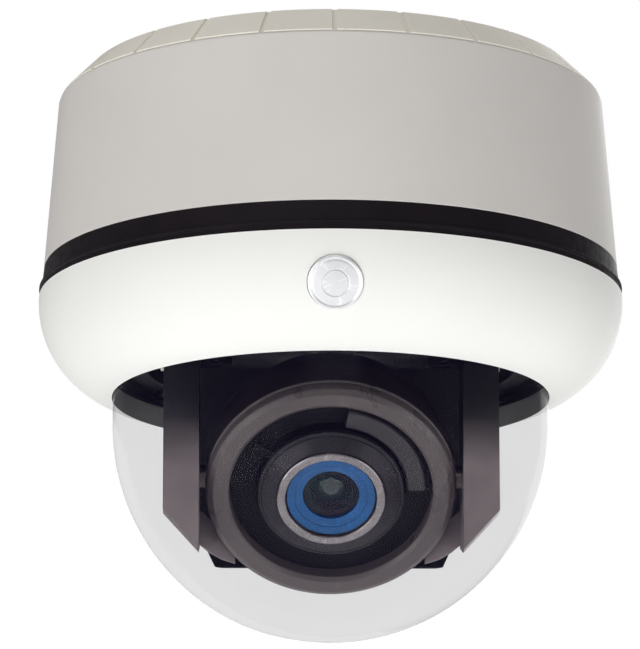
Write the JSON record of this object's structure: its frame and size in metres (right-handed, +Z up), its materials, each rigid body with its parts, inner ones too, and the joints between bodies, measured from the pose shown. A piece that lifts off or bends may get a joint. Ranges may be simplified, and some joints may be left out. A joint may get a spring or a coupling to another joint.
{
  "type": "ceiling dome camera",
  "caption": "Ceiling dome camera with pan, tilt, zoom, focus and iris drives behind a clear dome, on a mounting base with a rounded bezel.",
  "frame": {"origin": "centre of the top mounting face, which lies against the ceiling", "axes": "+Z up out of the mounting face, -Y to the front where the badge is, +X to the right seen from the front"},
  "size_m": [0.148, 0.1484, 0.1458],
  "materials": {
    "ivory_plastic": "fine moulded texture",
    "box_plastic": "fine moulded texture",
    "white_plastic": "smooth satin",
    "black_rubber": "matt moulded",
    "black_plastic": "fine texture",
    "clear_dome": "polished",
    "badge_silver": "satin",
    "screw_steel": "zinc plated",
    "bearing_steel": "ground",
    "chassis_metal": "die cast",
    "motor_metal": "drawn can",
    "board_green": "solder mask",
    "component_black": "moulded package",
    "terminal_green": "moulded",
    "gear_brass": "machined",
    "ball_plastic": "satin",
    "lens_black": "anodised",
    "lens_barrel": "anodised, turned",
    "cover_grey": "satin",
    "accent_blue": "anodised",
    "optic_glass": "coated"
  },
  "bodies": {
    "housing": {"mount_base": "ivory_plastic", "back_box": "box_plastic", "housing_screws": "screw_steel", "conduit_plug": "box_plastic", "body_gasket": "black_rubber", "bezel": "white_plastic", "bayonet_ring": "black_plastic", "lock_screw": "screw_steel", "badge": "badge_silver", "dome": "clear_dome", "dome_seal": "black_rubber", "dome_retainer": "black_plastic", "deck_trim": "black_plastic", "small_screws": "screw_steel", "main_board": "board_green", "network_jack": "chassis_metal", "power_terminal": "terminal_green", "board_components": "component_black", "chassis_plate": "chassis_metal", "pan_motor_can": "motor_metal", "bearing_outer_race": "bearing_steel", "bearing_balls": "bearing_steel", "slip_ring_body": "black_plastic", "pan_home_sensor": "black_plastic"},
    "pan_drive": {"pan_motor_shaft": "screw_steel", "pan_pinion": "gear_brass"},
    "pan_head": {"pan_hub": "chassis_metal", "pan_gear": "gear_brass", "bearing_inner_race": "bearing_steel", "slip_ring_rotor": "gear_brass", "turntable": "black_plastic", "left_arm": "black_plastic", "right_arm": "black_plastic", "left_arm_cover": "black_plastic", "right_arm_cover": "black_plastic", "rear_liner": "black_plastic", "arm_screws": "screw_steel", "tilt_motor_can": "motor_metal", "tilt_belt": "black_rubber", "tilt_bushings": "gear_brass"},
    "tilt_drive": {"tilt_drive_pulley": "screw_steel"},
    "camera_ball": {"front_ring": "ball_plastic", "front_shell": "ball_plastic", "rear_shell": "ball_plastic", "tilt_axles": "screw_steel", "tilt_pulley": "black_plastic", "sensor_board": "board_green", "image_sensor": "component_black", "lens_body": "lens_black", "gear_cover": "cover_grey", "zoom_motor_can": "motor_metal"},
    "zoom_ring": {"zoom_ring": "lens_black"},
    "zoom_drive": {"zoom_pinion": "gear_brass"},
    "zoom_group": {"zoom_cell": "lens_black"},
    "focus_ring": {"focus_ring": "lens_black"},
    "lens_group": {"lens_front": "lens_barrel", "accent_ring": "accent_blue", "front_glass": "optic_glass"},
    "iris_upper": {"iris_upper": "lens_black"},
    "iris_lower": {"iris_lower": "lens_black"}
  },
  "joints": [
    {"name": "pan", "type": "hinge", "parent": "housing", "child": "pan_head", "pos_m": [0, 0, -0.038], "axis": [0, 0, 1], "continuous": true},
    {"name": "pan_motor_spin", "type": "hinge", "parent": "housing", "child": "pan_drive", "pos_m": [0.0421, 0, -0.047], "axis": [0, 0, 1], "continuous": true},
    {"name": "tilt", "type": "hinge", "parent": "pan_head", "child": "camera_ball", "pos_m": [0, 0, -0.10399], "axis": [1, 0, 0], "range_deg": [-45, 45]},
    {"name": "tilt_motor_spin", "type": "hinge", "parent": "pan_head", "child": "tilt_drive", "pos_m": [0.0375, 0, -0.05899], "axis": [1, 0, 0], "range_deg": [-91, 91]},
    {"name": "zoom_turn", "type": "hinge", "parent": "camera_ball", "child": "zoom_ring", "pos_m": [0, 0, -0.10399], "axis": [0, -0.7071, -0.7071], "range_deg": [-35, 35]},
    {"name": "zoom_motor_spin", "type": "hinge", "parent": "camera_ball", "child": "zoom_drive", "pos_m": [0.01386, -0.0098, -0.09419], "axis": [0, -0.7071, -0.7071], "range_deg": [-193, 193]},
    {"name": "zoom_slide", "type": "slide", "parent": "camera_ball", "child": "zoom_group", "axis": [0, -0.7071, -0.7071], "range_m": [-0.002, 0.002]},
    {"name": "focus_turn", "type": "hinge", "parent": "camera_ball", "child": "focus_ring", "pos_m": [0, 0, -0.10399], "axis": [0, -0.7071, -0.7071], "range_deg": [-30, 30]},
    {"name": "focus_slide", "type": "slide", "parent": "camera_ball", "child": "lens_group", "axis": [0, -0.7071, -0.7071], "range_m": [-0.001, 0.001]},
    {"name": "iris_upper_slide", "type": "slide", "parent": "lens_group", "child": "iris_upper", "axis": [0, -0.7071, 0.7071], "range_m": [-0.001, 0.001]},
    {"name": "iris_lower_slide", "type": "slide", "parent": "lens_group", "child": "iris_lower", "axis": [0, -0.7071, 0.7071], "range_m": [-0.001, 0.001]}
  ],
  "couplings": [
    {"joint": "pan_motor_spin", "follows": "pan", "ratio": -6},
    {"joint": "tilt_motor_spin", "follows": "tilt", "ratio": 2},
    {"joint": "zoom_motor_spin", "follows": "zoom_turn", "ratio": -5.5},
    {"joint": "zoom_slide", "follows": "zoom_turn", "m_per_rad": 0.0032},
    {"joint": "focus_slide", "follows": "focus_turn", "m_per_rad": 0.0019},
    {"joint": "iris_lower_slide", "follows": "iris_upper_slide", "ratio": -1}
  ]
}
